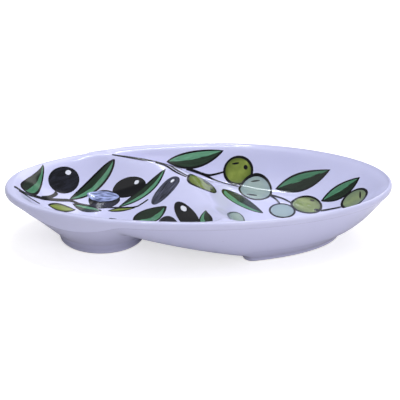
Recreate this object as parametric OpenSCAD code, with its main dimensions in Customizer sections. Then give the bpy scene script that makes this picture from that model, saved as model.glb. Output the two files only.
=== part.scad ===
// Divided olive dish of glazed earthenware, in millimetres with Z up.
// The oval dish has a round well for the stones at its left end and a deep well for the olives
// at its right end, with a low saddle-shaped divider running between them across the dish.
// The clay pieces are luted together along the seams that are modelled here.
// The origin lies on the table, under the middle of the oval.

/* [Dish] */
// Length over the rim
dish_length = 200; // [170:1:240]
// Width over the rim
dish_width = 99; // [88:1:120]
// Height of the rim above the table
dish_height = 30; // [27:0.5:38]
// Clay thickness under both wells
floor_thickness = 5; // [3.5:0.1:7]
// Least upright thickness of the walls
wall_thickness = 4; // [3:0.1:6]

/* [Rim] */
// How far the rolled edge bulges outwards
lip_roll = 1.4; // [1:0.1:3.5]
// Height of the rolled edge
lip_height = 4.1; // [3.5:0.1:8]
// Width of the coil of clay that forms the lip, inside the rolled edge
lip_width = 4; // [3:0.1:8]
// Width of the lip's level top round the stone well
pit_lip = 5.5; // [3:0.1:7]
// Width of the lip's level top round the olive well
olive_lip = 1.5; // [0.5:0.1:4]
// How much lower the rim is at the two ends
rim_end_drop = 0.6; // [0:0.1:2.5]
// Step down of the stone well's rim behind the divider
pit_rim_drop = 0.6; // [0:0.1:2]

/* [Divider] */
// Where the crest crosses the long axis, from the middle
crest_mid = -1; // [-10:0.5:14]
// How far the crest leans over half the width
crest_lean = 14.5; // [6:0.5:28]
// How far the crest sweeps to the left at the back
crest_sweep = 134; // [100:1:160]
// Width of the strip of clay that forms the divider
divider_width = 16; // [10:0.5:22]
// Run of the slope from the crest down to the olive well's floor
olive_run = 36; // [26:0.5:44]
// Run of the longer slope from the crest down to the stone well's floor
pit_run = 56; // [46:0.5:64]
// Radius of the hollow that is scooped out under the divider
hollow_radius = 20; // [12:0.5:21]
// How far the middle of that hollow lies below the table
hollow_drop = 4; // [2:0.5:10]
// Clay left between the ends of the hollow and the edge of the dish
hollow_wall = 12; // [10:0.5:20]

/* [Feet] */
// Height of both foot rings
foot_height = 4.8; // [2:0.1:6]
// Width of both foot rings
foot_ring_width = 5; // [3:0.1:8]
// Centre of the stone well and its foot, left of the middle
pit_offset = 50.4; // [44:0.1:58]
// Outer radius of the stone well's foot
pit_foot_radius = 22; // [16:0.5:25]
// Left edge of the olive well's foot, right of the middle
olive_foot_left = 21.5; // [12:0.5:34]
// Corner radius of the olive well's foot
olive_foot_corner = 5; // [2:0.5:9]
// Flat left round each foot on the underside
foot_margin = 1; // [0.5:0.1:4]
// Chamfer on the lower edge of the stone well's foot
foot_chamfer = 0.8; // [0.2:0.1:1.5]

/* [Hidden] */

$fn = 96;
// How far the cutting prisms reach past the clay
overrun = 5;
// Softness of the blends between neighbouring surfaces
blend = 0.55;
// Run of the step in the rim where the divider meets it
rim_step_run = 7;
// Distance from the left end over which that step fades out
rim_fade_run = 40;

// Shares of the oval, from its middle to the inside of the rolled edge
flat_share = 0.755;
inner_wall_share = 0.36;
// Shares of a slope's run: the softness of its edges, the roundness of the crest and what the saddle adds to it
edge_share = 0.05;
crest_round_share = 0.06;
saddle_soft_share = 0.2;
// Share of a slope's run by which the crest dips in the middle, and of the wall's run over which it dips
saddle_share = 0.15;
saddle_run_share = 1.8;
// Share of the half width, behind the long axis, over which the step in the rim sets in
rim_step_share = 0.5;
// Rises of the underside for each unit of run: the boat's keel and the stone well's flank
keel_rise_share = 0.195;
pit_flank_share = 0.98;
// Steepest drift of the crest that counts in the distance from it
crest_turn = 3;
// Powers that shape the hull's flank and the crest's sweep
flank_power = 1.67;
crest_power = 5;

// Numbers of facets: round the oval, across the wells, over the lip, up the flank and under the floor
around = 72;
well_rings = 16;
lip_rings = 4;
flank_rings = 6;
floor_rings = 4;
crest_steps = 40;

half_length = dish_length / 2 - lip_roll;
half_width = dish_width / 2 - lip_roll;
well_depth = dish_height - foot_height - floor_thickness;
pit_flat_radius = pit_foot_radius + foot_margin;
keel_start = olive_foot_left - foot_margin;
hollow_x = (keel_start + pit_flat_radius - pit_offset) / 2;
hollow_run = half_width - hollow_wall - hollow_radius;

clay_white = "#ECEAF3";
clay_shade = "#DEDBE8";
foot_clay = "#D3CFDD";

// Smooth step from 0 at 0 to 1 at 1, and the same step centred on 0
function ease(t) = let (c = min(1, max(0, t))) c * c * (3 - 2 * c);

function step(t) = ease(t + 1 / 2);

// From 0 at 0 to 1 at 1, steep at first and then level, as a well's side runs down to its floor
function scoop(t) = let (c = min(1, max(0, t))) c * (2 - c);

// The lower or the higher of two values, with their crossing rounded
function soft_min(p, q, width) = -width * ln(exp(-p / width) + exp(-q / width));

function soft_max(p, q, width) = width * ln(exp(p / width) + exp(q / width));

// 0 at the middle of the oval, 1 at the inside of the rolled edge
function oval_share(x, y) = norm([x / half_length, y / half_width]);

// Distance from the middle to the rim, through a point
function rim_reach(x, y) = let (turn = atan2(y, x))
    1 / norm([cos(turn) / half_length, sin(turn) / half_width]);

// Plan line of the divider's crest, its slope and the distance of a point from it
function crest_x(y) = let (e = y / half_width)
    crest_mid - crest_lean * e - crest_sweep * pow(max(0, e), crest_power);

function crest_slope(y) = let (e = max(0, y / half_width))
    -(crest_lean + crest_power * crest_sweep * pow(e, crest_power - 1)) / half_width;

function crest_gap(x, y) = let (drift = -crest_slope(y))
    (x - crest_x(y)) / norm([1, drift / (1 + drift / crest_turn)]);

// Top of the rim, with the low step on the stone well's side of the divider
function rim_height(x, y) =
    let (pit_side = step(-crest_gap(x, y) / rim_step_run))
    let (back = ease(y / (half_width * rim_step_share)))
    let (fade = ease((x + half_length) / rim_fade_run))
    dish_height - rim_end_drop * pow(x / half_length, 2) - pit_rim_drop * pit_side * back * fade;

// Both wells and the saddle between them: a well's side falls from the lip and from the crest
function well_height(x, y) =
    let (lip_top = olive_lip + (pit_lip - olive_lip) * step(-x / dish_length))
    let (inset = (1 - oval_share(x, y) - lip_top / rim_reach(x, y)) / inner_wall_share)
    let (inside = soft_max(0, inset, edge_share))
    let (gap = crest_gap(x, y), slope = max(gap / olive_run, -gap / pit_run))
    let (low = ease(inside / saddle_run_share), soft = crest_round_share + saddle_soft_share * low)
    let (aside = norm([slope, soft]) - soft)
    rim_height(x, y) - well_depth * scoop(soft_min(inside, aside + saddle_share * low, edge_share));

// The boat-shaped hull, whose keel rises towards the left
function hull_height(x, y) =
    let (keel = foot_height + keel_rise_share * max(0, keel_start - x))
    let (flank = max(0, oval_share(x, y) - flat_share) / (1 - flat_share))
    keel + (rim_height(x, y) - lip_height - keel) * pow(flank, flank_power);

// The round underside of the stone well
function pit_height(x, y) =
    foot_height + pit_flank_share * max(0, norm([x + pit_offset, y]) - pit_flat_radius);

function under_height(x, y) = max(foot_height, soft_min(hull_height(x, y), pit_height(x, y), blend));

function inner_height(x, y) = soft_max(well_height(x, y), under_height(x, y) + wall_thickness, blend);

// Rings of points over the clay: across the wells, over the lip and back along the underside
function oval_point(share, turn) = [share * half_length * cos(turn), share * half_width * sin(turn)];

function turns() = [for (j = [0 : around - 1]) 360 * j / around];

function well_ring(share) = [for (turn = turns()) let (p = oval_point(share, turn))
    [p.x, p.y, inner_height(p.x, p.y)]];

function under_ring(share) = [for (turn = turns()) let (p = oval_point(share, turn))
    [p.x, p.y, under_height(p.x, p.y)]];

function lip_ring(roll) = [for (turn = turns())
    let (p = oval_point(1, turn), out = lip_roll * sin(roll))
    let (top = inner_height(p.x, p.y), low = under_height(p.x, p.y))
    [p.x + out * cos(turn), p.y + out * sin(turn), (top + low) / 2 + (top - low) / 2 * cos(roll)]];

clay_rings = concat(
    [for (i = [1 : well_rings]) well_ring(i / well_rings)],
    [for (i = [1 : lip_rings - 1]) lip_ring(180 * i / lip_rings)],
    [for (i = [0 : flank_rings]) under_ring(1 - (1 - flat_share) * i / flank_rings)],
    [for (i = [1 : floor_rings - 1]) under_ring(flat_share * (1 - i / floor_rings))]);

// A closed solid through a list of rings, with a point at each end
module skin(rings, first, last) {
    sides = len(rings[0]);
    end = 1 + len(rings) * sides;
    at = function (i, j) 1 + i * sides + j % sides;
    polyhedron(
        points = concat([first], [for (ring = rings) each ring], [last]),
        faces = concat(
            [for (j = [0 : sides - 1]) [0, at(0, j + 1), at(0, j)]],
            [for (i = [0 : len(rings) - 2], j = [0 : sides - 1]) each [
                [at(i, j), at(i, j + 1), at(i + 1, j)],
                [at(i + 1, j), at(i, j + 1), at(i + 1, j + 1)]]],
            [for (j = [0 : sides - 1]) [end, at(len(rings) - 1, j), at(len(rings) - 1, j + 1)]]),
        convexity = 8);
}

// The hollow under the divider: a round trough with round ends
module hollow() translate([hollow_x, 0, -hollow_drop]) {
    rotate([90, 0, 0]) cylinder(r = hollow_radius, h = 2 * hollow_run, center = true);
    for (end = [-1, 1]) translate([0, end * hollow_run, 0]) sphere(r = hollow_radius);
}

// The whole clay body, which the seams below divide into its pieces
module clay() difference() {
    skin(clay_rings, [0, 0, inner_height(0, 0)], [0, 0, under_height(0, 0)]);
    hollow();
}

// An upright cutter of any outline
module seam() translate([0, 0, -overrun]) linear_extrude(dish_height + 2 * overrun) children();

module oval(inset) polygon([for (turn = turns())
    [(half_length - inset) * cos(turn), (half_width - inset) * sin(turn)]]);

// The crest line, moved sideways along its own normal
function crest_line(shift) = [for (i = [0 : crest_steps])
    let (y = dish_width * (i / crest_steps - 0.5), s = crest_slope(y), n = norm([1, s]))
    [crest_x(y) + shift / n, y - shift * s / n]];

// Everything on one side of the crest line: side is -1 for the stone well, 1 for the olive well
module crest_side(side) polygon(concat(
    crest_line(side * divider_width / 2),
    [[2 * side * dish_length, dish_width], [2 * side * dish_length, -dish_width]]));

module olive_well() color(clay_white) intersection() {
    clay();
    seam() intersection() { oval(lip_width); crest_side(1); }
}

module pit_well() color(clay_white) intersection() {
    clay();
    seam() intersection() { oval(lip_width); crest_side(-1); }
}

module divider() color(clay_shade) intersection() {
    clay();
    seam() difference() { oval(lip_width); crest_side(1); crest_side(-1); }
}

module rim_lip() color(clay_shade) difference() {
    clay();
    seam() oval(lip_width);
}

// The hull's flat, cut off at its left edge and with its two corners rounded
module olive_foot_outline(inset) offset(r = olive_foot_corner) offset(delta = -olive_foot_corner - inset)
    intersection() {
        polygon([for (turn = turns()) [
            (flat_share * half_length - foot_margin) * cos(turn),
            (flat_share * half_width - foot_margin) * sin(turn)]]);
        translate([olive_foot_left, -dish_width / 2]) square([dish_length, dish_width]);
    }

module olive_foot() color(foot_clay) linear_extrude(foot_height) difference() {
    olive_foot_outline(0);
    olive_foot_outline(foot_ring_width);
}

module pit_foot() color(foot_clay) translate([-pit_offset, 0, 0]) rotate_extrude() polygon([
    [pit_foot_radius - foot_ring_width, 0],
    [pit_foot_radius - foot_chamfer, 0],
    [pit_foot_radius, foot_chamfer],
    [pit_foot_radius, foot_height],
    [pit_foot_radius - foot_ring_width, foot_height]]);

olive_well();
pit_well();
divider();
rim_lip();
olive_foot();
pit_foot();
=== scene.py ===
"""Looks of the divided olive dish: glazed earthenware with painted olive sprigs, in metres with Z up."""
import math

import bmesh
import bpy
import numpy as np
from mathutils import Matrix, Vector


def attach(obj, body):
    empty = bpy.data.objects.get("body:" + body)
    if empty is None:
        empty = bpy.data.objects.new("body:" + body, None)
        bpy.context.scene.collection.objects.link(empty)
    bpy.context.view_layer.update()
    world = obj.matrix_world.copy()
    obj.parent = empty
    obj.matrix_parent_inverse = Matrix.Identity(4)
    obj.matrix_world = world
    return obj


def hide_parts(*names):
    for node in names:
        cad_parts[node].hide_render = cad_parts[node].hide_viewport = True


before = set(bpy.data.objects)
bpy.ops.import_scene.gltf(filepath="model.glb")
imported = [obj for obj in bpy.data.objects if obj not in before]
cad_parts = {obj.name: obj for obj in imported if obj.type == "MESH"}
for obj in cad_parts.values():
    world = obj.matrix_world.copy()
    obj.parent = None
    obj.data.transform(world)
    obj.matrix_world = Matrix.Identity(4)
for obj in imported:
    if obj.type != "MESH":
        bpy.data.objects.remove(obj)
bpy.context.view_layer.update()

MM = 0.001

# Edges that turn more than this stay sharp, and points closer than this many metres are one.
crease = math.radians(40)
weld = 1e-7

# The dish's sizes in millimetres, as its solids have them.
dish_length = 200
dish_width = 99
dish_height = 30
floor_thickness = 5
wall_thickness = 4
lip_roll = 1.4
lip_height = 4.1
lip_width = 4
pit_lip = 5.5
olive_lip = 1.5
rim_end_drop = 0.6
pit_rim_drop = 0.6
crest_mid = -1
crest_lean = 14.5
crest_sweep = 134
divider_width = 16
olive_run = 36
pit_run = 56
hollow_radius = 20
hollow_drop = 4
hollow_wall = 12
foot_height = 4.8
foot_ring_width = 5
pit_offset = 50.4
pit_foot_radius = 22
olive_foot_left = 21.5
olive_foot_corner = 5
foot_margin = 1

# How the solids' curves run: lengths in millimetres, shares of the sizes above, and powers.
blend = 0.55
rim_step_run = 7
rim_fade_run = 40
flat_share = 0.755
inner_wall_share = 0.36
edge_share = 0.05
crest_round_share = 0.06
saddle_soft_share = 0.2
crest_turn = 3
saddle_share = 0.15
saddle_run_share = 1.8
rim_step_share = 0.5
keel_rise_share = 0.195
pit_flank_share = 0.98
flank_power = 1.67
crest_power = 5

half_length = dish_length / 2 - lip_roll
half_width = dish_width / 2 - lip_roll
seam_length = half_length - lip_width
seam_width = half_width - lip_width
well_depth = dish_height - foot_height - floor_thickness
pit_flat_radius = pit_foot_radius + foot_margin
keel_start = olive_foot_left - foot_margin
hollow_x = (keel_start + pit_flat_radius - pit_offset) / 2
hollow_run = half_width - hollow_wall - hollow_radius

# Counts of mesh rows, and how close to a seam its last row lies so that the gloss runs on across it.
seam_steps = 150
well_rows = 90
divider_rows = 22
lip_turns = 400
lip_strip_rows = 5
lip_roll_rows = 14
foot_turns = 160
foot_bend_steps = 13
corner_steps = 16
seam_guard = 0.02

# How finely the seams and the olive well's foot are traced, and how far past the rim a seam's line starts.
seam_samples = 6001
oval_samples = 20001
seam_overrun = 1.2


# The dish's surfaces over the plan, in millimetres.

def ease(t):
    """Smooth step from 0 to 1."""
    c = np.clip(t, 0, 1)
    return c * c * (3 - 2 * c)


def scoop(t):
    """From 0 to 1, steep at first and then level, as a well's side runs down to its floor."""
    c = np.clip(t, 0, 1)
    return c * (2 - c)


def step(t):
    """Smooth step from 0 to 1, centred on 0."""
    return ease(t + 0.5)


def soft_min(p, q, width=blend):
    """The lower of two heights, with their crossing rounded."""
    return -width * np.logaddexp(-p / width, -q / width)


def soft_max(p, q, width=blend):
    """The higher of two heights, with their crossing rounded."""
    return width * np.logaddexp(p / width, q / width)


def oval_share(x, y):
    """0 at the middle of the dish and 1 along its rim."""
    return np.hypot(x / half_length, y / half_width)


def rim_reach(x, y):
    """Distance from the middle to the rim, through a point."""
    turn = np.arctan2(y, x)
    return 1 / np.hypot(np.cos(turn) / half_length, np.sin(turn) / half_width)


def crest_x(y):
    """Where the divider's crest runs across the dish."""
    e = y / half_width
    return crest_mid - crest_lean * e - crest_sweep * np.maximum(0, e) ** crest_power


def crest_slope(y):
    """How fast the crest drifts in X along Y."""
    e = np.maximum(0, y / half_width)
    return -(crest_lean + crest_power * crest_sweep * e ** (crest_power - 1)) / half_width


def crest_gap(x, y):
    """Distance from the crest, negative on the stone well's side."""
    slope = -crest_slope(y)
    return (x - crest_x(y)) / np.hypot(1, slope / (1 + slope / crest_turn))


def rim_height(x, y):
    """Top of the rim, lower behind the stone well with a step where the divider meets the back."""
    behind = ease(y / (half_width * rim_step_share)) * ease((x + half_length) / rim_fade_run)
    step_down = pit_rim_drop * step(-crest_gap(x, y) / rim_step_run) * behind
    return dish_height - rim_end_drop * (x / half_length) ** 2 - step_down


def well_height(x, y):
    """The two wells and the saddle between them."""
    lip_top = olive_lip + (pit_lip - olive_lip) * step(-x / dish_length)
    inset = (1 - oval_share(x, y) - lip_top / rim_reach(x, y)) / inner_wall_share
    inside = soft_max(0, inset, edge_share)
    gap = crest_gap(x, y)
    slope = np.maximum(gap / olive_run, -gap / pit_run)
    low = ease(inside / saddle_run_share)
    soft = crest_round_share + saddle_soft_share * low
    aside = np.hypot(slope, soft) - soft
    return rim_height(x, y) - well_depth * scoop(soft_min(inside, aside + saddle_share * low, edge_share))


def hull_height(x, y):
    """Underside of the whole oval, which rises towards the stone well."""
    keel = foot_height + keel_rise_share * np.maximum(0, keel_start - x)
    flank = np.maximum(0, oval_share(x, y) - flat_share) / (1 - flat_share)
    return keel + (rim_height(x, y) - lip_height - keel) * flank ** flank_power


def pit_height(x, y):
    """Underside of the round stone well."""
    return foot_height + pit_flank_share * np.maximum(0, np.hypot(x + pit_offset, y) - pit_flat_radius)


def under_height(x, y):
    """Underside before the hollow is scooped."""
    return np.maximum(foot_height, soft_min(hull_height(x, y), pit_height(x, y)))


def inner_height(x, y):
    """The surface that holds the olives."""
    return soft_max(well_height(x, y), under_height(x, y) + wall_thickness)


def under_side(x, y):
    """Underside with the hollow that lightens the clay below the divider."""
    aside = np.hypot(x - hollow_x, np.maximum(0, np.abs(y) - hollow_run))
    hollow = np.sqrt(np.maximum(0, hollow_radius ** 2 - aside ** 2)) - hollow_drop
    return soft_max(under_height(x, y), hollow)


def on_glaze(x, y):
    """The point of the inner surface above a plan point, and the surface's direction there."""
    reach = 0.5
    run_x = (inner_height(x + reach, y) - inner_height(x - reach, y)) / (2 * reach)
    run_y = (inner_height(x, y + reach) - inner_height(x, y - reach)) / (2 * reach)
    return Vector((x, y, float(inner_height(x, y)))), Vector((-run_x, -run_y, 1)).normalized()


# Clay pieces.

def closed_mesh(name, points, faces):
    """A mesh object from points in millimetres, closed, smooth on its curves and sharp at its edges."""
    mesh = bpy.data.meshes.new(name)
    mesh.from_pydata((points * MM).tolist(), [], faces)
    body = bmesh.new()
    body.from_mesh(mesh)
    bmesh.ops.remove_doubles(body, verts=body.verts, dist=weld)
    bmesh.ops.recalc_face_normals(body, faces=body.faces)
    body.to_mesh(mesh)
    body.free()
    mesh.shade_smooth()
    mesh.set_sharp_from_angle(angle=crease)
    piece = bpy.data.objects.new(name, mesh)
    bpy.context.scene.collection.objects.link(piece)
    return piece


def grid_faces(index):
    """Quads between the neighbours of an index table."""
    corners = index[:-1, :-1], index[:-1, 1:], index[1:, 1:], index[1:, :-1]
    return np.stack([corner.ravel() for corner in corners], axis=1).tolist()


def clay_slab(name, plan):
    """The clay between the inner surface and the underside, over a grid of plan points."""
    x, y = plan[..., 0], plan[..., 1]
    top = np.stack([x, y, inner_height(x, y)], axis=-1).reshape(-1, 3)
    low = np.stack([x, y, under_side(x, y)], axis=-1).reshape(-1, 3)
    index = np.arange(len(top)).reshape(x.shape)
    below = index + len(top)
    faces = grid_faces(index) + grid_faces(below)
    for edge in (np.s_[0, :], np.s_[-1, :], np.s_[:, 0], np.s_[:, -1]):
        faces += grid_faces(np.stack([index[edge], below[edge]]))
    return closed_mesh(name, np.concatenate([top, low]), faces)


def guarded(shares, length):
    """Shares along a line, with one more close to each end."""
    guard = seam_guard / length
    return np.concatenate([[0, guard], shares[1:-1], [1 - guard, 1]])


def seam_line(shift, shares):
    """Plan points from front to back along the line at a shift from the divider's crest."""
    y = np.linspace(-seam_overrun * half_width, seam_overrun * half_width, seam_samples)
    slope = crest_slope(y)
    scale = np.hypot(1, slope)
    line = np.stack([crest_x(y) + shift / scale, y - shift * slope / scale], axis=-1)
    reach = np.hypot(line[:, 0] / seam_length, line[:, 1] / seam_width)
    inside = np.flatnonzero(reach <= 1)
    ends = []
    for within, beyond in ((inside[0], inside[0] - 1), (inside[-1], inside[-1] + 1)):
        part = (1 - reach[within]) / (reach[beyond] - reach[within])
        ends.append(line[within] + (line[beyond] - line[within]) * part)
    line = np.concatenate([ends[:1], line[inside], ends[1:]])
    run = np.concatenate([[0], np.cumsum(np.linalg.norm(np.diff(line, axis=0), axis=1))])
    return np.stack([np.interp(shares * run[-1], run, line[:, axis]) for axis in (0, 1)], axis=-1)


def make_well(name, shift, whole_turn):
    """A well between the divider's seam and the lip's seam."""
    shares = np.linspace(0, 1, seam_steps + 1)
    crest = seam_line(shift, shares)
    front, back = (math.atan2(end[1] / seam_width, end[0] / seam_length) for end in (crest[0], crest[-1]))
    turn = front + (back - whole_turn - front) * shares
    lip = np.stack([seam_length * np.cos(turn), seam_width * np.sin(turn)], axis=-1)
    rows = guarded(np.linspace(0, 1, well_rows + 1), half_width)[:, None, None]
    return clay_slab(name, crest + (lip - crest) * rows)


def make_divider(name):
    """The saddle between the two wells."""
    shares = guarded(np.linspace(0, 1, seam_steps + 1), dish_width)
    rows = guarded(np.linspace(0, 1, divider_rows + 1), divider_width)
    return clay_slab(name, np.stack([seam_line((row - 0.5) * divider_width, shares) for row in rows]))


def make_rim_lip(name):
    """The rolled coil round the edge."""
    turn = np.linspace(0, 2 * math.pi, lip_turns, endpoint=False)
    strip = (1 - guarded(np.linspace(0, 1, lip_strip_rows + 1), lip_width)[:-1]) * lip_width
    across, along = np.cos(turn), np.sin(turn)
    loops = []
    for surface, insets in ((inner_height, strip), (under_side, strip[::-1])):
        for inset in insets:
            x, y = (half_length - inset) * across, (half_width - inset) * along
            loops.append(np.stack([x, y, surface(x, y)], axis=-1))
    x, y = half_length * across, half_width * along
    top, low = inner_height(x, y), under_side(x, y)
    rolled = []
    for roll in np.linspace(0, math.pi, lip_roll_rows + 1):
        out = lip_roll * math.sin(roll)
        height = (top + low) / 2 + (top - low) / 2 * math.cos(roll)
        rolled.append(np.stack([x + out * across, y + out * along, height], axis=-1))
    loops = np.stack(loops[:len(strip)] + rolled + loops[len(strip):])
    index = np.arange(loops.shape[0] * lip_turns).reshape(loops.shape[:2])
    index = np.concatenate([index, index[:1]])
    index = np.concatenate([index, index[:, :1]], axis=1)
    return closed_mesh(name, loops.reshape(-1, 3), grid_faces(index))


# Node trees.

def hex_colour(code):
    """A linear colour from an sRGB hex code."""
    shares = [int(code[start:start + 2], 16) / 255 for start in (1, 3, 5)]
    return [s / 12.92 if s <= 0.04045 else ((s + 0.055) / 1.055) ** 2.4 for s in shares] + [1]


def add_node(tree, kind, inputs=(), **settings):
    """Add a node with its settings, and feed its inputs from sockets or values."""
    node = tree.nodes.new(kind)
    for name, value in settings.items():
        setattr(node, name, value)
    for name, value in dict(inputs).items():
        if isinstance(value, bpy.types.NodeSocket):
            tree.links.new(value, node.inputs[name])
        else:
            node.inputs[name].default_value = value
    return node


def new_tree(name, sockets):
    """A Geometry Nodes tree with named inputs, and its input and output nodes."""
    tree = bpy.data.node_groups.new(name, "GeometryNodeTree")
    tree.interface.new_socket("Geometry", in_out="OUTPUT", socket_type="NodeSocketGeometry")
    tree.interface.new_socket("Geometry", in_out="INPUT", socket_type="NodeSocketGeometry")
    for label, kind in sockets.items():
        tree.interface.new_socket(label, in_out="INPUT", socket_type="NodeSocket" + kind)
    return tree, add_node(tree, "NodeGroupInput").outputs


def grow(name, guide, tree, values, film=0):
    """Run a tree on a guide mesh and keep the result as a plain mesh object."""
    seed = bpy.data.objects.new(name + "_guide", guide)
    bpy.context.scene.collection.objects.link(seed)
    modifier = seed.modifiers.new("Grow", "NODES")
    modifier.node_group = tree
    for item in tree.interface.items_tree:
        if item.in_out == "INPUT" and item.name in values:
            modifier[item.identifier] = values[item.name]
    if film:
        solidify = seed.modifiers.new("Film", "SOLIDIFY")
        solidify.thickness = film
        solidify.offset = -1
    evaluated = seed.evaluated_get(bpy.context.evaluated_depsgraph_get())
    mesh = bpy.data.meshes.new_from_object(evaluated)
    mesh.name = name
    mesh.set_sharp_from_angle(angle=crease)
    piece = bpy.data.objects.new(name, mesh)
    bpy.context.scene.collection.objects.link(piece)
    bpy.data.objects.remove(seed)
    return piece


# Foot rings.

def foot_tree():
    """Sweeps a foot's section round its outline, and stretches it up to the clay above."""
    tree, given = new_tree("foot ring", {
        "Section": "Object", "Above": "Collection", "Clay": "Material", "Height": "Float"})
    path = add_node(tree, "GeometryNodeMeshToCurve", {"Mesh": given["Geometry"]})
    level = add_node(tree, "GeometryNodeSetCurveNormal", {"Curve": path.outputs[0]}, mode="Z_UP")
    section = add_node(tree, "GeometryNodeObjectInfo", {"Object": given["Section"]})
    profile = add_node(tree, "GeometryNodeMeshToCurve", {"Mesh": section.outputs["Geometry"]})
    swept = add_node(tree, "GeometryNodeCurveToMesh", {
        "Curve": level.outputs[0], "Profile Curve": profile.outputs[0]})
    above = add_node(tree, "GeometryNodeCollectionInfo", {"Collection": given["Above"]})
    above = add_node(tree, "GeometryNodeRealizeInstances", {"Geometry": above.outputs[0]})
    place = add_node(tree, "GeometryNodeInputPosition").outputs[0]
    axes = add_node(tree, "ShaderNodeSeparateXYZ", {0: place}).outputs
    table = add_node(tree, "ShaderNodeCombineXYZ", {"X": axes["X"], "Y": axes["Y"]})
    ray = add_node(tree, "GeometryNodeRaycast", {
        "Target Geometry": above.outputs[0], "Source Position": table.outputs[0],
        "Ray Direction": (0, 0, 1)})
    room = add_node(tree, "ShaderNodeMath", {
        0: ray.outputs["Hit Distance"], 1: given["Height"]}, operation="DIVIDE")
    tall = add_node(tree, "ShaderNodeMath", {0: axes["Z"], 1: room.outputs[0]}, operation="MULTIPLY")
    stretched = add_node(tree, "ShaderNodeCombineXYZ", {
        "X": axes["X"], "Y": axes["Y"], "Z": tall.outputs[0]})
    seated = add_node(tree, "GeometryNodeSetPosition", {
        "Geometry": swept.outputs[0], "Position": stretched.outputs[0]})
    smooth = add_node(tree, "GeometryNodeSetShadeSmooth", {"Geometry": seated.outputs[0]})
    real = add_node(tree, "GeometryNodeRealizeInstances", {"Geometry": smooth.outputs[0]})
    clay = add_node(tree, "GeometryNodeSetMaterial", {
        "Geometry": real.outputs[0], "Material": given["Clay"]})
    add_node(tree, "NodeGroupOutput", {"Geometry": clay.outputs[0]})
    return tree


def loop_mesh(name, points):
    """A closed loop of edges through points in millimetres."""
    count = len(points)
    mesh = bpy.data.meshes.new(name)
    mesh.from_pydata((np.asarray(points) * MM).tolist(), [(i, (i + 1) % count) for i in range(count)], [])
    return mesh


def pit_foot_outline():
    """The stone well's round foot, seen from above."""
    turn = np.linspace(0, 2 * math.pi, foot_turns, endpoint=False)
    x, y = pit_foot_radius * np.cos(turn) - pit_offset, pit_foot_radius * np.sin(turn)
    return np.stack([x, y, 0 * turn], axis=-1)


def olive_foot_outline():
    """The olive well's foot: an oval cut off square at its left, with rounded corners."""
    long, short = flat_share * half_length - foot_margin, flat_share * half_width - foot_margin
    turn = np.linspace(0, math.pi, oval_samples)
    oval = np.stack([long * np.cos(turn), short * np.sin(turn)], axis=-1)
    outward = np.stack([np.cos(turn) / long, np.sin(turn) / short], axis=-1)
    outward /= np.linalg.norm(outward, axis=1, keepdims=True)
    drawn_in = oval - olive_foot_corner * outward
    corner = np.flatnonzero(drawn_in[:, 0] < olive_foot_left + olive_foot_corner)[0]
    centre = drawn_in[corner]
    facing = math.atan2(outward[corner, 1], outward[corner, 0])
    bend = np.linspace(facing, math.pi, corner_steps)[1:, None]
    rounded = centre + olive_foot_corner * np.concatenate([np.cos(bend), np.sin(bend)], axis=1)
    upper = np.concatenate([oval[np.linspace(0, corner, foot_turns // 2).astype(int)], rounded])
    outline = np.concatenate([upper, upper[:0:-1] * (1, -1)])
    return np.concatenate([outline, np.zeros((len(outline), 1))], axis=1)


# How a foot's standing edge is rounded, and how its top flares and sinks into the clay.
foot_edge = 1.2
foot_bury = 0.4
foot_flare_rise = 3.4
foot_flare_ease = 0.7
olive_foot_flare = 5.5
pit_foot_flare = 2.6


def foot_section(flare):
    """A foot ring's section: a rounded standing edge, and a flare that bends into the clay above."""
    quarter = np.linspace(0, math.pi / 2, foot_bend_steps)
    edge = [(-foot_edge * (1 - math.sin(a)), foot_edge * (1 - math.cos(a))) for a in quarter]
    bend = [(flare * (1 - math.cos(a)) ** foot_flare_ease,
             foot_height - foot_flare_rise * (1 - math.sin(a))) for a in quarter]
    bend.append((bend[-1][0] - foot_bury, foot_height + foot_bury))
    outer = edge + bend
    inner = [(-foot_ring_width - out, height) for out, height in reversed(outer)]
    return [(out, -height, 0) for out, height in outer + inner]


def make_foot(name, outline, section, tree, above, material):
    """A foot ring that follows an outline."""
    guide = bpy.data.objects.new(name + "_section", loop_mesh(name + "_section", section))
    bpy.context.scene.collection.objects.link(guide)
    foot = grow(name, loop_mesh(name, outline), tree, {
        "Section": guide, "Above": above, "Clay": material, "Height": foot_height * MM})
    bpy.data.objects.remove(guide)
    return foot


# Painting.

# A coat of paint's height, a film's depth and an outline's width, in millimetres.
paint_coat = 0.03
paint_depth = 0.15
outline = 1.1
# How many outlines a fill loses in length and in width.
fill_shorter = 2.6
fill_narrower = 2
# Olives lie over the leaves: the coat that one is, the coats to the next layer of them, and the layer of the
# small touches.
olive_coats = 3
layer_coats = 2
touch_layer = 2
# How the ends of an olive and of a touch are rounded: the lower, the blunter.
olive_blunt = 0.5
touch_blunt = 0.6
# How far over the clay a drawing starts its drop, and how far it may fall.
drop_start = 30
drop_reach = 90
# The mesh of a painted mark and of a brush line, and how thin a line ends.
mark_rows = 49
mark_columns = 17
mark_weld = 0.001
stem_step = 0.5
stem_columns = 9
stem_taper = 0.55


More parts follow.
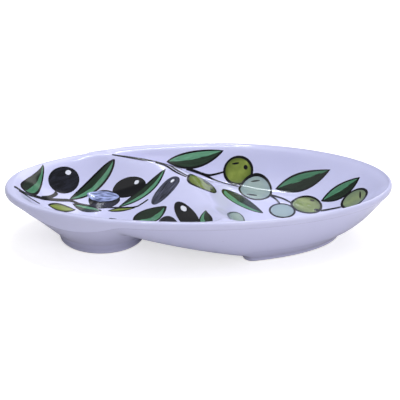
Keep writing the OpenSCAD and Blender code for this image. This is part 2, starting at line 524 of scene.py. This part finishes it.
def lay_on_glaze(tree, given, geometry, direction, coat):
    """Nodes that drop a flat drawing onto the clay along a direction, as one coat of paint."""
    clay = add_node(tree, "GeometryNodeCollectionInfo", {"Collection": given["Clay"]})
    target = add_node(tree, "GeometryNodeRealizeInstances", {"Geometry": clay.outputs[0]})
    place = add_node(tree, "GeometryNodeInputPosition").outputs[0]
    back = add_node(tree, "ShaderNodeVectorMath", {
        0: direction, "Scale": -drop_start * MM}, operation="SCALE")
    start = add_node(tree, "ShaderNodeVectorMath", {0: place, 1: back.outputs[0]}, operation="ADD")
    ray = add_node(tree, "GeometryNodeRaycast", {
        "Target Geometry": target.outputs[0], "Source Position": start.outputs[0],
        "Ray Direction": direction, "Ray Length": drop_reach * MM})
    proud = add_node(tree, "ShaderNodeVectorMath", {
        0: ray.outputs["Hit Normal"], "Scale": coat}, operation="SCALE")
    lain = add_node(tree, "ShaderNodeVectorMath", {
        0: ray.outputs["Hit Position"], 1: proud.outputs[0]}, operation="ADD")
    laid = add_node(tree, "GeometryNodeSetPosition", {
        "Geometry": geometry, "Selection": ray.outputs["Is Hit"], "Position": lain.outputs[0]})
    missed = add_node(tree, "FunctionNodeBooleanMath", {0: ray.outputs["Is Hit"]}, operation="NOT")
    kept = add_node(tree, "GeometryNodeDeleteGeometry", {
        "Geometry": laid.outputs[0], "Selection": missed.outputs[0]})
    smooth = add_node(tree, "GeometryNodeSetShadeSmooth", {"Geometry": kept.outputs[0]})
    painted = add_node(tree, "GeometryNodeSetMaterial", {
        "Geometry": smooth.outputs[0], "Material": given["Paint"]})
    add_node(tree, "NodeGroupOutput", {"Geometry": painted.outputs[0]})


def motif_tree():
    """Paints one leaf or olive at each guide point, turned, sized and shaped by the point's own values."""
    tree, given = new_tree("painted motifs", {"Clay": "Collection", "Paint": "Material"})
    sheet = add_node(tree, "GeometryNodeMeshGrid", {
        "Size X": 2, "Size Y": 2, "Vertices X": mark_rows, "Vertices Y": mark_columns})
    place = add_node(tree, "GeometryNodeInputPosition").outputs[0]
    axes = add_node(tree, "ShaderNodeSeparateXYZ", {0: place}).outputs
    quarter = add_node(tree, "ShaderNodeMath", {0: axes["X"], 1: math.pi / 2}, operation="MULTIPLY")
    along = add_node(tree, "ShaderNodeMath", {0: quarter.outputs[0]}, operation="SINE").outputs[0]
    square = add_node(tree, "ShaderNodeMath", {0: along, 1: along}, operation="MULTIPLY").outputs[0]
    crown = add_node(tree, "ShaderNodeMath", {0: 1, 1: square}, operation="SUBTRACT").outputs[0]
    noted = sheet.outputs["Mesh"]
    for name, value in (("along", along), ("across", axes["Y"]), ("crown", crown)):
        noted = add_node(tree, "GeometryNodeStoreNamedAttribute", {
            "Geometry": noted, "Name": name, "Value": value}, data_type="FLOAT", domain="POINT").outputs[0]
    midrib = add_node(tree, "ShaderNodeCombineXYZ", {"X": along})
    midrib = add_node(tree, "ShaderNodeVectorMath", {0: midrib.outputs[0], "Scale": 0.5}, operation="SCALE")
    drawn_in = add_node(tree, "GeometryNodeSetPosition", {"Geometry": noted, "Position": midrib.outputs[0]})
    kept = {}
    for name in ("facing", "heading", "side"):
        kept[name] = add_node(tree, "GeometryNodeInputNamedAttribute", {
            "Name": name}, data_type="FLOAT_VECTOR").outputs[0]
    for name in ("along", "across", "crown", "length", "width", "bow", "blunt", "skew", "coat"):
        kept[name] = add_node(tree, "GeometryNodeInputNamedAttribute", {
            "Name": name}, data_type="FLOAT").outputs[0]
    turn = add_node(tree, "FunctionNodeAxesToRotation", {
        0: kept["facing"], 1: kept["heading"]}, primary_axis="Z", secondary_axis="X")
    placed = add_node(tree, "GeometryNodeInstanceOnPoints", {
        "Points": given["Geometry"], "Instance": drawn_in.outputs[0],
        "Rotation": turn.outputs[0], "Scale": kept["length"]})
    real = add_node(tree, "GeometryNodeRealizeInstances", {"Geometry": placed.outputs[0]})
    belly = add_node(tree, "ShaderNodeMath", {0: kept["crown"], 1: kept["blunt"]}, operation="POWER")
    lean = add_node(tree, "ShaderNodeMath", {0: kept["along"], 1: kept["skew"]}, operation="MULTIPLY")
    lean = add_node(tree, "ShaderNodeMath", {0: 1, 1: lean.outputs[0]}, operation="SUBTRACT")
    half = add_node(tree, "ShaderNodeMath", {0: kept["width"], 1: 0.5}, operation="MULTIPLY")
    reach = kept["across"]
    for share in (belly, lean, half):
        reach = add_node(tree, "ShaderNodeMath", {
            0: reach, 1: share.outputs[0]}, operation="MULTIPLY").outputs[0]
    reach = add_node(tree, "ShaderNodeMath", {
        0: kept["crown"], 1: kept["bow"], 2: reach}, operation="MULTIPLY_ADD")
    aside = add_node(tree, "ShaderNodeVectorMath", {
        0: kept["side"], "Scale": reach.outputs[0]}, operation="SCALE")
    spread = add_node(tree, "GeometryNodeSetPosition", {
        "Geometry": real.outputs[0], "Offset": aside.outputs[0]})
    closed = add_node(tree, "GeometryNodeMergeByDistance", {
        "Geometry": spread.outputs[0], "Distance": mark_weld * MM})
    down = add_node(tree, "ShaderNodeVectorMath", {0: kept["facing"], "Scale": -1}, operation="SCALE")
    lay_on_glaze(tree, given, closed.outputs[0], down.outputs[0], kept["coat"])
    return tree


def stem_tree():
    """Paints a tapering brush line along each guide path."""
    tree, given = new_tree("painted stems", {"Clay": "Collection", "Paint": "Material"})
    path = add_node(tree, "GeometryNodeMeshToCurve", {"Mesh": given["Geometry"]})
    soft = add_node(tree, "GeometryNodeCurveSplineType", {
        "Curve": path.outputs[0]}, spline_type="CATMULL_ROM")
    fine = add_node(tree, "GeometryNodeResampleCurve", {
        "Curve": soft.outputs[0], "Length": stem_step * MM}, mode="LENGTH")
    level = add_node(tree, "GeometryNodeSetCurveNormal", {"Curve": fine.outputs[0]}, mode="Z_UP")
    brush = add_node(tree, "GeometryNodeCurvePrimitiveLine", {"Start": (0.5, 0, 0), "End": (-0.5, 0, 0)})
    brush = add_node(tree, "GeometryNodeResampleCurve", {
        "Curve": brush.outputs[0], "Count": stem_columns}, mode="COUNT")
    run = add_node(tree, "GeometryNodeSplineParameter").outputs["Factor"]
    taper = add_node(tree, "ShaderNodeMapRange", {"Value": run, "To Min": 1, "To Max": stem_taper})
    width = add_node(tree, "GeometryNodeInputNamedAttribute", {"Name": "width"}, data_type="FLOAT")
    width = add_node(tree, "ShaderNodeMath", {
        0: width.outputs[0], 1: taper.outputs[0]}, operation="MULTIPLY")
    stroke = add_node(tree, "GeometryNodeCurveToMesh", {
        "Curve": level.outputs[0], "Profile Curve": brush.outputs[0], "Scale": width.outputs[0]})
    down = add_node(tree, "ShaderNodeCombineXYZ", {"Z": -1})
    real = add_node(tree, "GeometryNodeRealizeInstances", {"Geometry": stroke.outputs[0]})
    lay_on_glaze(tree, given, real.outputs[0], down.outputs[0], paint_coat * MM)
    return tree


# The painting: olive sprigs laid out over the plan, in millimetres with their outlines. Angles are in
# degrees from +X. A leaf has its base, tip, width, bow to the left, bluntness, lean to the base, and tone:
# its sign is the light half's side, and its size is how far its brush streaks lighten.
leaves = [
    (-90, 0.5, -81.4, 25.6, 8.3, -2.4, 0.45, 0.82, -0.6),
    (-67.6, 14.8, -43.7, 34.2, 7.6, -1.7, 0.67, -0.23, -1),
    (-42, 6.5, -16.6, 25.7, 8, -2.5, 0.91, 0.24, -1),
    (-66, 13, -50.5, 6.5, 7, 0.8, 0.95, 0.12, 1),
    (-34.3, -11.6, -16.8, -7.8, 17, -2.3, 0.66, 0.32, -0.7),
    (2.4, -44, 2.8, -24.8, 6.7, 1.1, 0.55, 0.7, 1),
    (-16.1, 40.3, 14.8, 43.8, 9.5, -1.7, 0.87, 0.16, 1.3),
    (13.7, 22.1, 33.7, 2.4, 14, -0.8, 0.7, 0.45, -1),
    (41.7, 28.1, 70.9, 27.3, 10.8, -0.7, 0.97, 0.25, 0.45),
    (64.9, 13.9, 85.4, 16.1, 9.7, -0.4, 0.91, 0.21, 0.7),
]
# Young leaves are filled with the olives' green, and their tone of 0 adds none of the painted pale blue-grey
# to it.
young_leaves = [
    (-78.5, 3, -64, 8.7, 7, 0.3, 0.95, 0.12, 0),
    (-47.5, 5.4, -33, 1.2, 4.5, 0.3, 0.95, 0.12, 0),
]
# An olive has its middle, length, width, the angle of its length, how pale it is, and its layer. On a green
# olive the paleness is a painted reflection of a light on the glaze; on a black olive it gives slate
# streaks.
black_olives = [
    (-70.7, 22.7, 18.6, 14.7, 35, 0.1, 0),
    (-36.1, 20.3, 18.6, 13.3, 4, 0, -1),
    (-49.2, 16.3, 18, 14.2, -33, 0.1, 0),
    (-17.2, 8.6, 24.8, 10.3, 55, 0.6, 0),
    (-6.7, -25.1, 38, 8.9, -74, 0, 0),
    (-16.3, -30, 27, 11, 98, 0.1, 0),
]
# Their paleness is a painted reflection of a light on the glaze, strongest on three of them.
green_olives = [
    (22.4, 37.9, 16.7, 15.8, 60, 0, 0),
    (31, 27.9, 19.2, 18.1, 90, 0.62, 1),
    (2.3, 14.9, 22, 16.5, 100, 0, 0),
    (57, 11.3, 19.5, 15.8, 117, 0.1, 1),
    (43.9, 5.8, 17.5, 14.1, 93, 0.8, 0),
    (81.7, 4.8, 16.3, 14.2, -3, 0.2, 0),
    (18, -25.5, 36, 10.5, 72, 0.55, 0),
]
# White touches on the black olives: middle, length, width, angle.
highlights = [
    (-68.3, 26.6, 3.4, 2.6, 20),
    (-32.1, 22, 2.8, 2.2, 40),
    (-13.3, 15.6, 3, 1.6, 56),
    (-8.2, -15.5, 7, 2.6, -73),
]
# Dark touches on the green olives.
dashes = [
    (21.1, 40.1, 4, 1, 15),
    (26.4, 38.6, 2.6, 2.2, 90),
    (31.4, 33.4, 5, 0.9, 5),
    (28.9, 23.5, 6, 1.6, 0),
    (4.4, 19.5, 5, 1.4, -40),
    (7, 11, 3, 2, 80),
    (60.5, 15.7, 3, 1.2, -40),
    (61.8, 6, 2.6, 2.4, 0),
    (84.6, 5.2, 6, 1, 75),
]
# A painted reflection: a milky blue patch over a black olive that stands for a light reflected in the glaze.
painted_reflections = [
    (-49.7, 19.4, 18, 7.2, -18),
]
# Stems and stalks: the brush's width, and the points from the thick end to the thin one.
stems = [
    (1.9, [(-95, -2.2), (-90.3, -2.1), (-85.7, 2.4), (-81.3, 5.7), (-75.6, 9.8), (-67.5, 14.3),
           (-62.5, 14.2), (-57.2, 14), (-50.4, 10.8), (-44.4, 7.4), (-33.7, 2.2), (-29.7, 3),
           (-26.3, 5.3)]),
    (1.5, [(-92.4, -4.4), (-87.4, -3), (-82.4, -1.1)]),
    (1.7, [(-74.1, 15.3), (-75, 13.5), (-77, 10.9), (-81.4, 6.7)]),
    (1.5, [(-24, 31.4), (-28.2, 32.1), (-36.8, 34.3), (-45, 36.4)]),
    (1.5, [(-30, 32.6), (-21.8, 31), (-15.8, 28.8), (-10.5, 23.6), (-5.2, 18.6)]),
    (2.3, [(-30, 34), (-22, 32.6), (-14.6, 30.2), (-8, 28.4)]),
    (1.2, [(-22, 30), (-16.8, 27.6), (-11.6, 22.6), (-6, 17.6)]),
    (0.9, [(3, 37.6), (7.1, 37.1), (14.6, 38)]),
    (1, [(-5.5, 39.1), (3.1, 37.5), (10.9, 34.8), (18.7, 32.1), (23.3, 30.7)]),
    (1.7, [(38.1, 24.6), (42.1, 22.5), (45.9, 19.5), (49.3, 14.8)]),
    (1.5, [(39.4, 23.3), (41.8, 18.8), (43.2, 14.2)]),
    (1.7, [(64, 4.9), (69.6, 4.8), (74.5, 3.8)]),
    (1.35, [(-45.7, -40.4), (-42.3, -40.9)]),
]


def leaf_mark(row):
    """A leaf's place, directions and shape on the glaze."""
    base_x, base_y, tip_x, tip_y, width, bow, blunt, skew, tone = row
    base, tip = on_glaze(base_x, base_y)[0], on_glaze(tip_x, tip_y)[0]
    facing = on_glaze((base_x + tip_x) / 2, (base_y + tip_y) / 2)[1]
    heading = (tip - base).normalized()
    return {"place": (base + tip) / 2, "facing": facing, "heading": heading, "side": facing.cross(heading),
            "length": (tip - base).length, "width": width, "bow": bow, "blunt": blunt, "skew": skew,
            "tone": tone, "coat": 1}


def olive_mark(row):
    """An olive's place, directions and shape on the glaze."""
    x, y, length, width, angle, tone, layer = row
    place, facing = on_glaze(x, y)
    flat = Vector((math.cos(math.radians(angle)), math.sin(math.radians(angle)), 0))
    heading = (flat - flat.dot(facing) * facing).normalized()
    return {"place": place, "facing": facing, "heading": heading, "side": facing.cross(heading),
            "length": length, "width": width, "bow": 0, "blunt": olive_blunt, "skew": 0,
            "tone": tone, "coat": olive_coats + layer_coats * layer}


def touch_mark(row):
    """A small brush touch on top of the olives."""
    return {**olive_mark(row + (0, touch_layer)), "blunt": touch_blunt}


def inked(mark):
    """The black shape under a mark's fill, which shows as its outline."""
    return {**mark, "tone": 0}


def filled(mark):
    """A mark's fill, inside its outline."""
    return {**mark, "length": mark["length"] - fill_shorter * outline,
            "width": mark["width"] - fill_narrower * outline, "coat": mark["coat"] + 1}


def marks_mesh(name, marks):
    """Guide points that carry the marks' own values for the tree."""
    mesh = bpy.data.meshes.new(name)
    mesh.from_pydata([mark["place"] * MM for mark in marks], [], [])
    for label in ("facing", "heading", "side"):
        values = mesh.attributes.new(label, "FLOAT_VECTOR", "POINT").data
        values.foreach_set("vector", [share for mark in marks for share in mark[label]])
    for label, scale in (("length", MM), ("width", MM), ("bow", MM), ("blunt", 1), ("skew", 1),
                         ("tone", 1), ("coat", paint_coat * MM)):
        values = mesh.attributes.new(label, "FLOAT", "POINT").data
        values.foreach_set("value", [mark[label] * scale for mark in marks])
    return mesh


def stems_mesh(name):
    """Guide paths for the stems, which carry the brush's width."""
    points, edges, widths = [], [], []
    for width, path in stems:
        edges += [(len(points) + i, len(points) + i + 1) for i in range(len(path) - 1)]
        points += [on_glaze(x, y)[0] * MM for x, y in path]
        widths += [width * MM] * len(path)
    mesh = bpy.data.meshes.new(name)
    mesh.from_pydata(points, edges, [])
    mesh.attributes.new("width", "FLOAT", "POINT").data.foreach_set("value", widths)
    return mesh


# Materials.

def new_material(name):
    """A material with an empty node tree."""
    material = bpy.data.materials.new(name)
    material.use_nodes = True
    material.node_tree.nodes.clear()
    return material, material.node_tree


# A clear gloss glaze, and matt biscuit clay where it is wiped off.
glaze_rough = 0.15
glaze_ior = 1.47
bare_rough = 0.8
glaze_gloss = {"Roughness": glaze_rough, "IOR": glaze_ior}
# The glaze's marks in millimetres: its ripple, with its height and how strongly it shows, the pools of
# thicker glaze, the spacing of the clay's specks, and the ragged edge of the wiped foot with its heights.
ripple_run = 9
ripple_height = 0.06
ripple_strength = 0.25
pool_run = 35
speck_run = 11
wipe_run = 5
wipe_ragged = 0.4
wipe_low = 0.4
wipe_high = 0.6
# How far the brush streaks of marks with other tones lie apart.
tone_spread = 5


def glaze_ripple(tree, place):
    """The faint ripple of a dipped glaze."""
    ripple = add_node(tree, "ShaderNodeTexNoise", {
        "Vector": place, "Scale": 1 / (ripple_run * MM), "Detail": 1})
    return add_node(tree, "ShaderNodeBump", {
        "Height": ripple.outputs["Fac"], "Strength": ripple_strength,
        "Distance": ripple_height * MM}).outputs[0]


def white_glaze():
    """White glazed earthenware: cool lavender white, glossy, pooled unevenly and finely specked."""
    material, tree = new_material("white_glazed_earthenware")
    place = add_node(tree, "ShaderNodeTexCoord").outputs["Object"]
    pools = add_node(tree, "ShaderNodeTexNoise", {
        "Vector": place, "Scale": 1 / (pool_run * MM), "Detail": 3})
    body = add_node(tree, "ShaderNodeMix", {
        0: pools.outputs["Fac"], 6: hex_colour("#CCCCEE"), 7: hex_colour("#D5D5F4")}, data_type="RGBA")
    grit = add_node(tree, "ShaderNodeTexVoronoi", {"Vector": place, "Scale": 1 / (speck_run * MM)})
    speck = add_node(tree, "ShaderNodeMapRange", {
        "Value": grit.outputs["Distance"], "From Min": 0.02, "From Max": 0.035,
        "To Min": 0.3, "To Max": 0})
    tint = add_node(tree, "ShaderNodeMix", {
        0: speck.outputs[0], 6: body.outputs[2], 7: hex_colour("#A9A6BC")}, data_type="RGBA")
    shader = add_node(tree, "ShaderNodeBsdfPrincipled", {
        "Base Color": tint.outputs[2], "Normal": glaze_ripple(tree, place), **glaze_gloss})
    add_node(tree, "ShaderNodeOutputMaterial", {"Surface": shader.outputs[0]})
    return material


def foot_glaze():
    """The same glaze, wiped off the edge that stands in the kiln, where the matt cream clay is bare."""
    material, tree = new_material("foot_glazed_earthenware")
    place = add_node(tree, "ShaderNodeTexCoord").outputs["Object"]
    wiped = add_node(tree, "ShaderNodeTexNoise", {
        "Vector": place, "Scale": 1 / (wipe_run * MM), "Detail": 2})
    height = add_node(tree, "ShaderNodeSeparateXYZ", {0: place}).outputs["Z"]
    ragged = add_node(tree, "ShaderNodeMath", {
        0: wiped.outputs["Fac"], 1: wipe_ragged * MM, 2: height}, operation="MULTIPLY_ADD")
    bare = add_node(tree, "ShaderNodeMapRange", {
        "Value": ragged.outputs[0], "From Min": wipe_low * MM, "From Max": wipe_high * MM,
        "To Min": 1, "To Max": 0})
    tint = add_node(tree, "ShaderNodeMix", {
        0: bare.outputs[0], 6: hex_colour("#CBCBEC"), 7: hex_colour("#E2D8C8")}, data_type="RGBA")
    rough = add_node(tree, "ShaderNodeMapRange", {
        "Value": bare.outputs[0], "To Min": glaze_rough, "To Max": bare_rough})
    shader = add_node(tree, "ShaderNodeBsdfPrincipled", {
        "Base Color": tint.outputs[2], "Roughness": rough.outputs[0], "IOR": glaze_ior,
        "Normal": glaze_ripple(tree, place)})
    add_node(tree, "ShaderNodeOutputMaterial", {"Surface": shader.outputs[0]})
    return material


def brush_streaks(tree, length, width):
    """Streaks that a soft brush leaves along a stroke, the place across the stroke, and its tone.

    The length and width are about how many streaks half a stroke has along and across.
    """
    along = add_node(tree, "ShaderNodeAttribute", attribute_name="along").outputs["Fac"]
    across = add_node(tree, "ShaderNodeAttribute", attribute_name="across").outputs["Fac"]
    tone = add_node(tree, "ShaderNodeAttribute", attribute_name="tone").outputs["Fac"]
    flat = add_node(tree, "ShaderNodeCombineXYZ", {"X": along, "Y": across, "Z": tone})
    drawn = add_node(tree, "ShaderNodeVectorMath", {
        0: flat.outputs[0], 1: (length, width, tone_spread)}, operation="MULTIPLY")
    streaks = add_node(tree, "ShaderNodeTexNoise", {"Vector": drawn.outputs[0], "Scale": 1, "Detail": 2})
    return streaks.outputs["Fac"], across, tone


def paint(name, brushed_colour):
    """Underglaze colour under the clear gloss of the glaze."""
    material, tree = new_material(name)
    colour = brushed_colour(tree)
    place = add_node(tree, "ShaderNodeTexCoord").outputs["Object"]
    shader = add_node(tree, "ShaderNodeBsdfPrincipled", {
        "Base Color": colour, "Normal": glaze_ripple(tree, place), **glaze_gloss})
    add_node(tree, "ShaderNodeOutputMaterial", {"Surface": shader.outputs[0]})
    return material


def black_colour(tree):
    """Blue-black that turns slate in the brush streaks, as far as the olive's tone goes."""
    streaks, _, tone = brush_streaks(tree, 1.5, 6)
    thin = add_node(tree, "ShaderNodeMapRange", {"Value": streaks, "From Min": 0.3, "From Max": 0.7})
    thin = add_node(tree, "ShaderNodeMath", {
        0: thin.outputs[0], 1: tone}, operation="MULTIPLY", use_clamp=True).outputs[0]
    return add_node(tree, "ShaderNodeMix", {
        0: thin, 6: hex_colour("#07080F"), 7: hex_colour("#6A6E88")}, data_type="RGBA").outputs[2]


def leaf_colour(tree):
    """A dark half and a light half on either side of the midrib, lighter in the brush streaks as far as the
    tone goes.
    """
    streaks, across, tone = brush_streaks(tree, 2.5, 5)
    side = add_node(tree, "ShaderNodeMath", {0: across, 1: tone}, operation="MULTIPLY").outputs[0]
    loose = add_node(tree, "ShaderNodeMapRange", {"Value": streaks, "To Min": -0.22, "To Max": 0.22})
    side = add_node(tree, "ShaderNodeMath", {0: side, 1: loose.outputs[0]}, operation="ADD").outputs[0]
    half = add_node(tree, "ShaderNodeMapRange", {"Value": side, "From Min": 0.07, "From Max": 0.13})
    thin = add_node(tree, "ShaderNodeMath", {0: tone}, operation="ABSOLUTE").outputs[0]
    thin = add_node(tree, "ShaderNodeMath", {0: streaks, 1: thin}, operation="MULTIPLY").outputs[0]
    dark = add_node(tree, "ShaderNodeMix", {
        0: thin, 6: hex_colour("#08120C"), 7: hex_colour("#2C4230")}, data_type="RGBA")
    light = add_node(tree, "ShaderNodeMix", {
        0: thin, 6: hex_colour("#2A6344"), 7: hex_colour("#74B08C")}, data_type="RGBA")
    return add_node(tree, "ShaderNodeMix", {
        0: half.outputs[0], 6: dark.outputs[2], 7: light.outputs[2]}, data_type="RGBA").outputs[2]


def olive_green_and_reflection(tree):
    """Yellow-green, deeper towards the outline, and turned pale blue-grey by the tone, which is a painted
    reflection of a light on the glaze.
    """
    streaks, across, tone = brush_streaks(tree, 1.6, 1.6)
    deep = add_node(tree, "ShaderNodeMath", {0: across, 1: across}, operation="MULTIPLY").outputs[0]
    fill = add_node(tree, "ShaderNodeMix", {
        0: streaks, 6: hex_colour("#5C6C24"), 7: hex_colour("#9DAC54")}, data_type="RGBA")
    fill = add_node(tree, "ShaderNodeMix", {
        0: deep, 6: fill.outputs[2], 7: hex_colour("#566525")}, data_type="RGBA")
    # The pale blue-grey mix is a painted reflection, as strong as the olive's tone.
    return add_node(tree, "ShaderNodeMix", {
        0: tone, 6: fill.outputs[2], 7: hex_colour("#A2B6C8")}, data_type="RGBA").outputs[2]


def highlight_colour(tree):
    """The white touch that makes an olive shine."""
    streaks = brush_streaks(tree, 2, 2)[0]
    return add_node(tree, "ShaderNodeMix", {
        0: streaks, 6: hex_colour("#CFD2E2"), 7: hex_colour("#F4F5FA")}, data_type="RGBA").outputs[2]


def painted_reflection_colour(tree):
    """Painted reflection of a light on the glaze: milky blue, turning slate in the weaker brush streaks."""
    streaks = brush_streaks(tree, 1.8, 3)[0]
    reflection_share = add_node(tree, "ShaderNodeMapRange", {
        "Value": streaks, "From Min": 0.35, "From Max": 0.6}).outputs[0]
    return add_node(tree, "ShaderNodeMix", {
        0: reflection_share, 6: hex_colour("#4A5478"), 7: hex_colour("#B3BFF0")}, data_type="RGBA").outputs[2]


# The floor's own white for the camera, beside the light that the lamps give it.
floor_glow = 0.6


def studio_floor():
    """A plain pale floor that the camera sees as white apart from the dish's shadow."""
    material, tree = new_material("studio_floor")
    rays = add_node(tree, "ShaderNodeLightPath").outputs
    glow = add_node(tree, "ShaderNodeMath", {0: rays["Is Camera Ray"], 1: floor_glow}, operation="MULTIPLY")
    shader = add_node(tree, "ShaderNodeBsdfPrincipled", {
        "Base Color": hex_colour("#E2E0DE"), "Roughness": 1, "Specular IOR Level": 0,
        "Emission Color": hex_colour("#FFFFFF"), "Emission Strength": glow.outputs[0]})
    add_node(tree, "ShaderNodeOutputMaterial", {"Surface": shader.outputs[0]})
    return material


# Making the dish.

glaze = white_glaze()
foot_finish = foot_glaze()
clay_pieces = {
    "olive_well": make_well("olive_well_clay", divider_width / 2, 0),
    "pit_well": make_well("pit_well_clay", -divider_width / 2, 2 * math.pi),
    "divider": make_divider("divider_clay"),
    "rim_lip": make_rim_lip("rim_lip_clay"),
}
clay = bpy.data.collections.new("clay")
for node, piece in clay_pieces.items():
    piece.data.materials.append(glaze)
    clay.objects.link(piece)
    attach(piece, "root")
    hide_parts(node)

feet = foot_tree()
for node, edge, section in (
        ("olive_foot", olive_foot_outline(), foot_section(olive_foot_flare)),
        ("pit_foot", pit_foot_outline(), foot_section(pit_foot_flare))):
    piece = make_foot(node + "_ring", edge, section, feet, clay, foot_finish)
    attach(piece, "root")
    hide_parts(node)

leaf_marks = [leaf_mark(row) for row in leaves]
young_marks = [leaf_mark(row) for row in young_leaves]
black_marks = [olive_mark(row) for row in black_olives]
green_marks = [olive_mark(row) for row in green_olives]
black_paint = paint("black_underglaze", black_colour)
# Olive green paint, which also carries the painted reflection on the pale olives.
green_paint = paint("olive_green_underglaze_and_painted_reflection", olive_green_and_reflection)
leaf_paint = paint("leaf_green_underglaze", leaf_colour)
white_paint = paint("white_underglaze", highlight_colour)
# This material paints a light's reflection as a pale blue patch.
reflection_paint = paint("clouded_glaze", painted_reflection_colour)
motifs = motif_tree()
coats = (
    ("leaf_outlines", [inked(mark) for mark in leaf_marks + young_marks], black_paint),
    ("leaf_fills", [filled(mark) for mark in leaf_marks], leaf_paint),
    ("young_leaf_fills", [filled(mark) for mark in young_marks], green_paint),
    ("black_olives", black_marks, black_paint),
    ("olive_outlines", [inked(mark) for mark in green_marks], black_paint),
    ("green_olives", [filled(mark) for mark in green_marks], green_paint),
    ("olive_highlights", [touch_mark(row) for row in highlights], white_paint),
    ("olive_dashes", [touch_mark(row) for row in dashes], black_paint),
    # This coat paints a light's reflection over one black olive.
    ("clouded_glaze", [touch_mark(row) for row in painted_reflections], reflection_paint),
)
painted = [grow(name, marks_mesh(name, marks), motifs, {"Clay": clay, "Paint": colour}, paint_depth * MM)
           for name, marks, colour in coats]
painted.append(grow("stems", stems_mesh("stems"), stem_tree(), {
    "Clay": clay, "Paint": black_paint}, paint_depth * MM))
for piece in painted:
    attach(piece, "root")
bpy.data.collections.remove(clay)


# Stage.

# Softboxes: name, place, width and height in metres, watts and colour.
lamps = (
    ("top_softbox", (0.1, -0.1, 1.4), 1.3, 0.4, 1.5, "#F1F7FF"),
    ("strip_light", (0.1, 0.16, 1.38), 0.8, 0.06, 9, "#F1F7FF"),
    ("front_softbox", (0.75, -1.2, 0.65), 1.0, 0.6, 7.5, "#FFFFFF"),
    ("left_softbox", (-0.9, -0.4, 1.5), 1.4, 1.4, 3, "#FFFFFF"),
    ("back_softbox", (0.7, 1.1, 1.4), 2, 1, 11.5, "#FFFFFF"),
)
# Where the lamps point, in metres, the even light from all round, and half of the floor's side.
lamp_target = (0, 0, 0.015)
world_light = 0.26
floor_reach = 3
# The camera, fitted to the photograph: degrees up and aside, millimetres away, and pixels to a millimetre,
# with the pixel that shows a point at a height over the dish's middle.
camera_rise = 25.835
camera_swing = -1.882
camera_distance = 1000
image_scale = 1.936
image_size = 400
middle_height = 28
middle_pixel = (198.82, 185.18)


def make_floor():
    """The floor under the dish."""
    mesh = bpy.data.meshes.new("studio_floor")
    corners = ((-1, -1), (1, -1), (1, 1), (-1, 1))
    mesh.from_pydata([(floor_reach * x, floor_reach * y, 0) for x, y in corners], [], [(0, 1, 2, 3)])
    mesh.materials.append(studio_floor())
    floor = bpy.data.objects.new("studio_floor", mesh)
    bpy.context.scene.collection.objects.link(floor)


def aim(thing, place, target):
    """Put a lamp or the camera at a place, turned to a target."""
    thing.location = place
    thing.rotation_euler = (Vector(target) - Vector(place)).to_track_quat("-Z", "Y").to_euler()
    bpy.context.scene.collection.objects.link(thing)


def make_lamp(name, place, width, height, power, colour):
    """A softbox that faces the dish."""
    lamp = bpy.data.lights.new(name, "AREA")
    lamp.shape = "RECTANGLE"
    lamp.size = width
    lamp.size_y = height
    lamp.energy = power
    lamp.color = hex_colour(colour)[:3]
    aim(bpy.data.objects.new(name, lamp), place, lamp_target)


def make_world():
    """Even light all round, seen as white."""
    world = bpy.data.worlds.new("studio")
    world.use_nodes = True
    tree = world.node_tree
    tree.nodes.clear()
    rays = add_node(tree, "ShaderNodeLightPath").outputs
    strength = add_node(tree, "ShaderNodeMapRange", {
        "Value": rays["Is Camera Ray"], "To Min": world_light, "To Max": 1})
    sky = add_node(tree, "ShaderNodeBackground", {
        "Color": hex_colour("#FFFFFF"), "Strength": strength.outputs[0]})
    add_node(tree, "ShaderNodeOutputWorld", {"Surface": sky.outputs[0]})
    bpy.context.scene.world = world


def make_camera():
    """The photograph's view: a long lens, about 26 degrees above the table and almost square on."""
    rise, swing = math.radians(camera_rise), math.radians(camera_swing)
    right = Vector((math.cos(swing), math.sin(swing), 0))
    level = Vector((-math.sin(swing), math.cos(swing), 0))
    forward = level * math.cos(rise) - Vector((0, 0, math.sin(rise)))
    up = level * math.sin(rise) + Vector((0, 0, math.cos(rise)))
    shift = [(image_size / 2 - pixel) / image_scale for pixel in middle_pixel]
    target = Vector((0, 0, middle_height)) + right * shift[0] - up * shift[1]
    lens = bpy.data.cameras.new("camera")
    lens.angle = 2 * math.atan(image_size / image_scale / 2 / camera_distance)
    lens.clip_start = 0.01
    camera = bpy.data.objects.new("camera", lens)
    aim(camera, (target - forward * camera_distance) * MM, target * MM)
    bpy.context.scene.camera = camera


make_floor()
make_world()
for lamp_row in lamps:
    make_lamp(*lamp_row)
make_camera()

bpy.context.scene.view_settings.view_transform = "Standard"

bpy.context.view_layer.update()
